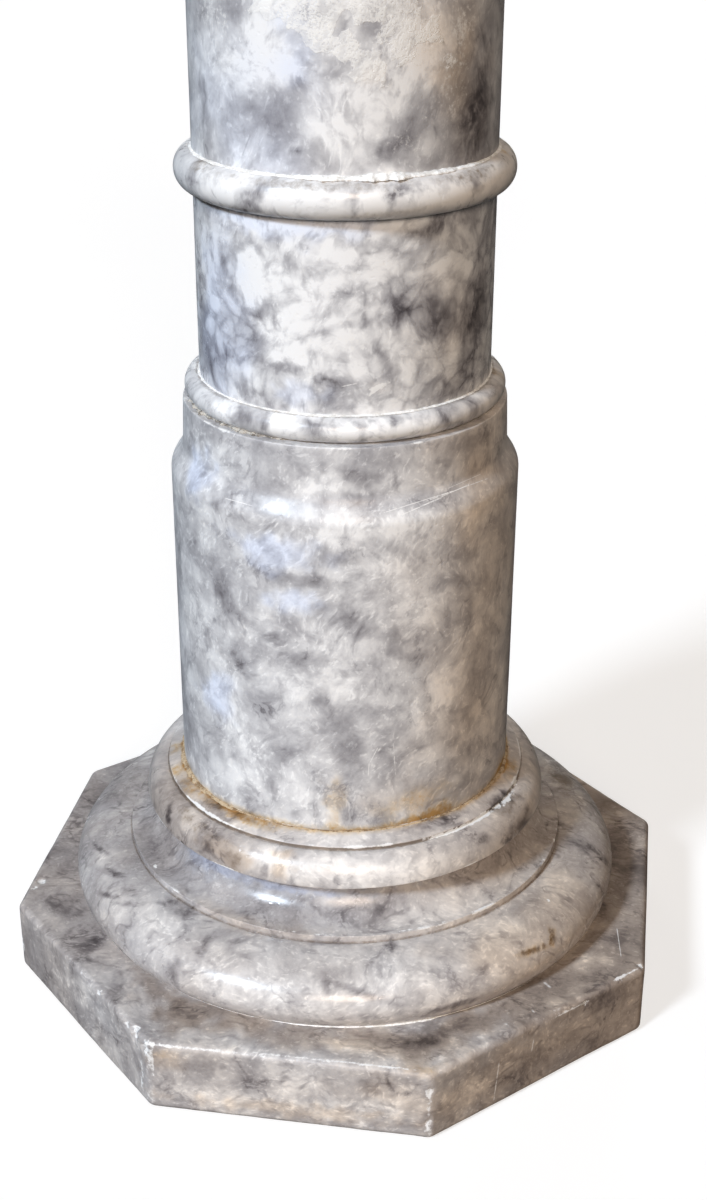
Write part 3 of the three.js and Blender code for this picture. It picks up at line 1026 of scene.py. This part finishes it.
MIDDLE_DRUM_MARKS = (
    ("tone", 0.6, (250, 275, 7, 11, 0, 0.25, 0.35)),
    ("tone", 0.16, (300, 315, 14, 13), (338, 288, 4.5, 5.5), (312, 298, 3.5, 7), (372, 237, 4.5, 3.5),
     (350, 358, 7, 9), (300, 366, 8, 5), (405, 355, 6, 11), (468, 255, 3, 10), (440, 270, 5, 6),
     (455, 350, 4, 7), (205, 240, 6, 8), (280, 345, 8, 6), (380, 270, 5, 6), (345, 255, 6, 5),
     (300, 240, 7, 5), (245, 370, 6, 5), (290, 395, 5, 5), (365, 400, 5, 4), (215, 300, 4, 8)),
    ("tone", -0.23, (300, 372, 13, 2, -12), (333, 381, 5, 3.5), (237, 335, 9, 9), (254, 312, 5, 2),
     (247, 238, 6, 2.5, -35), (418, 303, 13, 9), (400, 312, 4, 7), (478, 308, 8, 20), (395, 238, 8, 4, 20),
     (430, 225, 12, 4), (215, 365, 10, 7), (375, 345, 2, 12, 25), (265, 400, 10, 4), (440, 330, 10, 6),
     (200, 275, 3, 14), (350, 325, 10, 1.6, 15), (330, 400, 12, 3), (460, 385, 12, 8),
     (225, 265, 2.5, 7, 30)),
    # The first two patches are painted light just under the upper bead, where its shadow falls.
    ("tone", 0.30, (255, 222, 20, 4), (340, 228, 34, 4.5), (276, 278, 5, 9)),
    ("tone", -0.14, (470, 345, 9, 22), (204, 300, 5, 8)),
    # The last two patches are a painted cool light just under the upper bead.
    ("warmth", -0.6, (215, 330, 18, 30), (300, 395, 12, 5), (270, 225, 24, 6), (360, 225, 16, 5)),
    ("warmth", 0.4, (455, 300, 22, 26), (380, 388, 5, 3)),
    ("bruise", 0.85, (381, 387, 4, 1.3, 15), (372, 393, 3, 0.8, 40)),
)
MIDDLE_DRUM_SCRATCHES = (((342, 387), (356, 384), 0.3),)


def middle_drum():
    stone = plain_drum("middle_drum", "middle_drum_marble", seed=6)
    stone.paint(MIDDLE_DRUM_MARKS)
    cloud_unseen(stone, strength=0.28, size=35.0)
    shade_side(stone, bearing=62, tone=-0.10, warmth=0.1)
    shade_side(stone, bearing=-58, tone=-0.02, warmth=-0.2)
    joint_grime(stone, strength=0.12)
    material = marble(
        stone, seed=6.1, base=0.72, clouds=0.26, nodules=0.30, web=0.07, flecks=0.15, veins=0.08,
        gloss=0.28, cloud_size=26, nodule_size=8.5, scratches=MIDDLE_DRUM_SCRATCHES,
    )
    set_stone(stone, material, "middle_drum")


UPPER_BEAD_MARKS = (
    ("tone", 0.3, (305, 205, 20, 5), (222, 193, 8, 5), (372, 205, 5, 4), (450, 195, 14, 4)),
    ("tone", -0.36, (243, 203, 5, 5), (354, 206, 1.4, 5), (391, 203, 1.6, 5), (190, 180, 4, 7),
     (260, 190, 4, 3), (405, 190, 5, 2), (478, 185, 3, 5), (235, 210, 6, 2)),
    ("tone", -0.14, (372, 181, 12, 3), (182, 156, 6, 6)),
    ("rust", 0.5, (500, 150, 4, 4)),
    ("grime", 0.45, (200, 165, 8, 4), (330, 186, 50, 2.5), (480, 170, 12, 4)),
)


def upper_bead():
    stone = bead("upper_bead", "upper_bead_marble", seed=7)
    stone.paint(UPPER_BEAD_MARKS)
    cloud_unseen(stone, strength=0.26, size=22.0)
    shade_side(stone, bearing=60, tone=0.03, warmth=0.4)
    joint_grime(stone, strength=0.25)
    material = marble(
        stone, seed=7.7, base=0.82, clouds=0.30, nodules=0.06, veins=0.18, warmth=0.2, cloud_size=18,
    )
    set_stone(stone, material, "upper_bead")
    amounts = (
        (-180, 0.3), (-75, 0.3), (-55, 0.4), (-30, 0.45), (-10, 0.6),
        (3, 1.05), (20, 1.1), (32, 0.7), (55, 0.55), (80, 0.3),
    )
    joint_filler(
        "shaft_plaster", span("shaft")[2], span("upper_bead")[1], reach=3.6, rise=1.3, fall=0.1,
        amounts=amounts, seed=85, material=plaster,
    )


SHAFT_MARKS = (
    ("tone", 0.18, (238, 150, 4, 9), (380, 110, 7, 10), (330, 100, 9, 9), (430, 150, 7, 6), (345, 140, 10, 7),
     (360, 85, 10, 6)),
    ("tone", -0.22, (200, 12, 9, 8), (220, 10, 9, 6), (302, 32, 3, 9), (482, 80, 8, 16),
     (445, 122, 20, 10, 25), (385, 155, 4, 3), (205, 105, 3, 18, 10), (470, 150, 9, 8), (480, 125, 9, 14),
     (405, 145, 9, 6), (275, 112, 12, 10), (330, 74, 10, 5, -25), (342, 26, 3, 5), (366, 28, 4, 4)),
    ("tone", 0.28, (262, 30, 10, 16), (240, 70, 14, 11), (300, 65, 10, 7)),
    ("tone", 0.12, (388, 45, 9, 7), (444, 98, 8, 10), (432, 12, 10, 6), (408, 155, 9, 5)),
    ("tone", 0.36, (400, 66, 12, 13), (428, 46, 8, 9)),
    ("tone", -0.35, (297, 148, 2.0, 1.3)),
    ("warmth", -0.5, (240, 100, 34, 40), (300, 40, 8, 12)),
    ("warmth", 0.5, (373, 73, 5, 4), (440, 40, 16, 18), (470, 110, 14, 26)),
    ("crust", 0.85, (335, 50, 12, 8, -25), (365, 66, 10, 4, -15), (318, 30, 7, 10)),
    ("crust", 0.6, (320, 6, 24, 5), (392, 10, 14, 8), (262, 4, 8, 5), (447, 64, 7, 3.5), (430, 28, 7, 5)),
    ("crust", -1.0, (340, 26, 3, 5, -30), (364, 29, 4, 3), (320, 64, 10, 4)),
    ("crust", 0.45, (392, 40, 8, 7), (410, 55, 7, 6)),
    ("bruise", 0.30, (440, 35, 16, 16), (445, 95, 14, 9), (470, 20, 10, 12)),
    ("bruise", 0.42, (208, 12, 12, 8)),
    ("bruise", 0.20, (445, 130, 20, 10), (400, 150, 12, 7), (235, 40, 12, 8)),
    ("grime", 0.22, (440, 40, 16, 16), (460, 100, 12, 14)),
)


def shaft():
    stone = plain_drum("shaft", "shaft_marble", seed=8, step=2.4, turns=300)
    stone.paint(SHAFT_MARKS)
    shade_side(stone, bearing=62, tone=-0.12, warmth=0.1)
    # The marks and the painted side shade thin out up the shaft.
    stone.marks["tone"] *= 1 - 0.6 * smooth_step(MARK_AND_SHADE_TOP - MARK_AND_SHADE_FADE, MARK_AND_SHADE_TOP, stone.points[:, 2])
    cloud_unseen(stone, strength=0.28, size=60.0)
    lumps = 1 + 0.5 * mottle(stone.points, size=9.0, seed=71)
    stone.raise_by(0.22 * stone.marks["crust"].clip(0, 1) * lumps)
    joint_grime(stone, strength=0.3)
    material = marble(
        stone, seed=8.4, base=0.69, nodules=0.10, web=0.02, flecks=0.15, veins=0.08,
        gloss=0.32, cloud_size=26, lean=10,
    )
    set_stone(stone, material, "shaft")


def neck_bead():
    stone = bead("neck_bead", "neck_bead_marble", seed=9, turns=260)
    cloud_unseen(stone, strength=0.24, size=22.0)
    joint_grime(stone, strength=0.5)
    material = marble(
        stone, seed=9.2, base=0.80, clouds=0.30, nodules=0.06, veins=0.18, warmth=0.2, cloud_size=18,
    )
    set_stone(stone, material, "neck_bead")


def bell_capital():
    foot, top, reach = span("bell_capital")
    neck = span("shaft")[2]
    bell_foot = foot + CAPITAL_NECK
    bell_top = top - BELL_FILLET
    stone = turned("capital_marble", [
        straight((neck - JOINT_LIP, foot), (neck, foot), (neck, bell_foot)),
        ellipse_arc((reach, bell_foot), reach - neck, bell_top - bell_foot, 180, 90),
        straight((reach, bell_top), (reach, top), (reach - JOINT_LIP, top)),
    ], softness=0.5, step=2.2, turns=300, seed=10)
    weather(stone)
    cloud_unseen(stone, strength=0.22)
    joint_grime(stone, strength=0.4)
    material = marble(
        stone, seed=10.6, base=0.66, nodules=0.08, web=0.02, flecks=0.11, veins=0.14, warmth=0.15, lean=35,
    )
    set_stone(stone, material, "bell_capital")


def top_slab():
    foot, top, apothem = span("octagonal_slab")
    stone = octagonal("slab_marble", foot, top, apothem, top_inset=70.0, step=4.0, seed=11)
    weather(stone, swell=0.2, wear=0.5)
    cloud_unseen(stone, strength=0.18, size=70.0)
    material = marble(
        stone, seed=11.2, base=0.63, clouds=0.28, nodules=0.06, flecks=0.14, veins=0.22, threads=0.13,
        warmth=0.6, gloss=0.32, cloud_size=26, lean=80,
    )
    set_stone(stone, material, "octagonal_slab")


# Studio.

def camera():
    data = bpy.data.cameras.new("camera")
    data.sensor_width = SENSOR_WIDTH
    data.lens = SENSOR_WIDTH * FOCAL_PIXELS / PICTURE_HIGH
    data.shift_x = (PICTURE_WIDE / 2 - AHEAD_PIXEL[0]) / PICTURE_HIGH
    data.shift_y = (AHEAD_PIXEL[1] - PICTURE_HIGH / 2) / PICTURE_HIGH
    data.clip_start = 0.01
    seen = bpy.data.objects.new("camera", data)
    axes = Matrix((CAMERA_RIGHT, CAMERA_UP, -CAMERA_AHEAD)).transposed().to_4x4()
    seen.matrix_world = Matrix.Translation(CAMERA_PLACE * MM) @ axes
    bpy.context.scene.collection.objects.link(seen)
    bpy.context.scene.camera = seen


def sun(name, azimuth, elevation, softness, strength, colour, shines=True):
    """A far light with soft-edged shadows, turned to the column's base. It may shine in the polish.

    Its azimuth runs to the right of the camera's. Its angles and the softness of its edge are in degrees.
    """
    data = bpy.data.lights.new(name, "SUN")
    data.angle = math.radians(softness)
    data.energy = strength
    data.color = colour
    around = CAMERA_AZIMUTH + math.radians(azimuth)
    up = math.radians(elevation)
    out = Vector((math.sin(around) * math.cos(up), -math.cos(around) * math.cos(up), math.sin(up)))
    light = bpy.data.objects.new(name, data)
    light.visible_glossy = shines
    light.location = out * SUN_DISTANCE + Vector((0, 0, SUN_AIM_HEIGHT))
    light.rotation_mode = "QUATERNION"
    light.rotation_quaternion = out.to_track_quat("Z", "Y")
    bpy.context.scene.collection.objects.link(light)


def paper(name, colour, glow):
    """Plain studio paper that glows a little, so that it stays pale all round the column."""
    material = bpy.data.materials.new(name)
    material.use_nodes = True
    shader = material.node_tree.nodes["Principled BSDF"]
    shader.inputs["Base Color"].default_value = (*colour, 1)
    shader.inputs["Roughness"].default_value = 0.9
    shader.inputs["Emission Color"].default_value = (1, 1, 1, 1)
    shader.inputs["Emission Strength"].default_value = glow
    return material


def set_stage(name, corners, faces, material):
    """Adds a piece of the studio, in metres, whose own glow neither lights the column nor shines in it."""
    piece = bpy.data.objects.new(name, bpy.data.meshes.new(name))
    piece.data.from_pydata(corners, [], faces)
    piece.data.materials.append(material)
    bpy.context.scene.collection.objects.link(piece)
    piece.visible_diffuse = False
    piece.visible_glossy = False
    return piece


def studio():
    sun("cool_light", azimuth=-46, elevation=38, softness=9, strength=3.15, colour=(0.72, 0.85, 1.0))
    sun("warm_light", azimuth=2, elevation=28, softness=22, strength=2.0, colour=(1.0, 0.83, 0.68))
    back = {"softness": 24, "colour": BACK_LIGHT, "shines": False}
    sun("back_light_left", azimuth=-165, elevation=5, strength=1.4, **back)
    sun("back_light_right", azimuth=166, elevation=4, strength=1.5, **back)
    half = FLOOR_WIDTH / 2
    ground = [(-half, -half, 0), (half, -half, 0), (half, half, 0), (-half, half, 0)]
    set_stage("floor", ground, [(0, 1, 2, 3)], paper("floor_paper", (0.42, 0.40, 0.38), glow=0.64))
    sides = ROOM_SIDES
    turn = np.linspace(0, 2 * math.pi, sides, endpoint=False)
    foot = [(ROOM_RADIUS * math.cos(angle), ROOM_RADIUS * math.sin(angle), 0) for angle in turn]
    top = [(x, y, ROOM_HEIGHT) for x, y, _ in foot]
    panels = [(side, (side + 1) % sides, (side + 1) % sides + sides, side + sides) for side in range(sides)]
    wall = set_stage("backdrop", foot + top, panels, paper("wall_paper", (0, 0, 0), glow=1.0))
    wall.visible_shadow = False
    world = bpy.data.worlds.new("studio")
    world.use_nodes = True
    background = world.node_tree.nodes["Background"]
    background.inputs["Color"].default_value = (1.0, 0.97, 0.94, 1)
    background.inputs["Strength"].default_value = 0.06
    bpy.context.scene.world = world
    bpy.context.scene.view_settings.view_transform = "Standard"


plaster = filler("plaster", pale=(0.92, 0.91, 0.89), dark=(0.70, 0.68, 0.64))
grey_mortar = filler("grey_mortar", pale=(0.48, 0.45, 0.40), dark=(0.15, 0.13, 0.11))
rusty_mortar = filler("rusty_mortar", pale=(0.52, 0.40, 0.26), dark=(0.23, 0.15, 0.08))

camera()
studio()
plinth()
torus_base()
base_ring()
lower_drum()
lower_bead()
middle_drum()
upper_bead()
shaft()
neck_bead()
bell_capital()
top_slab()
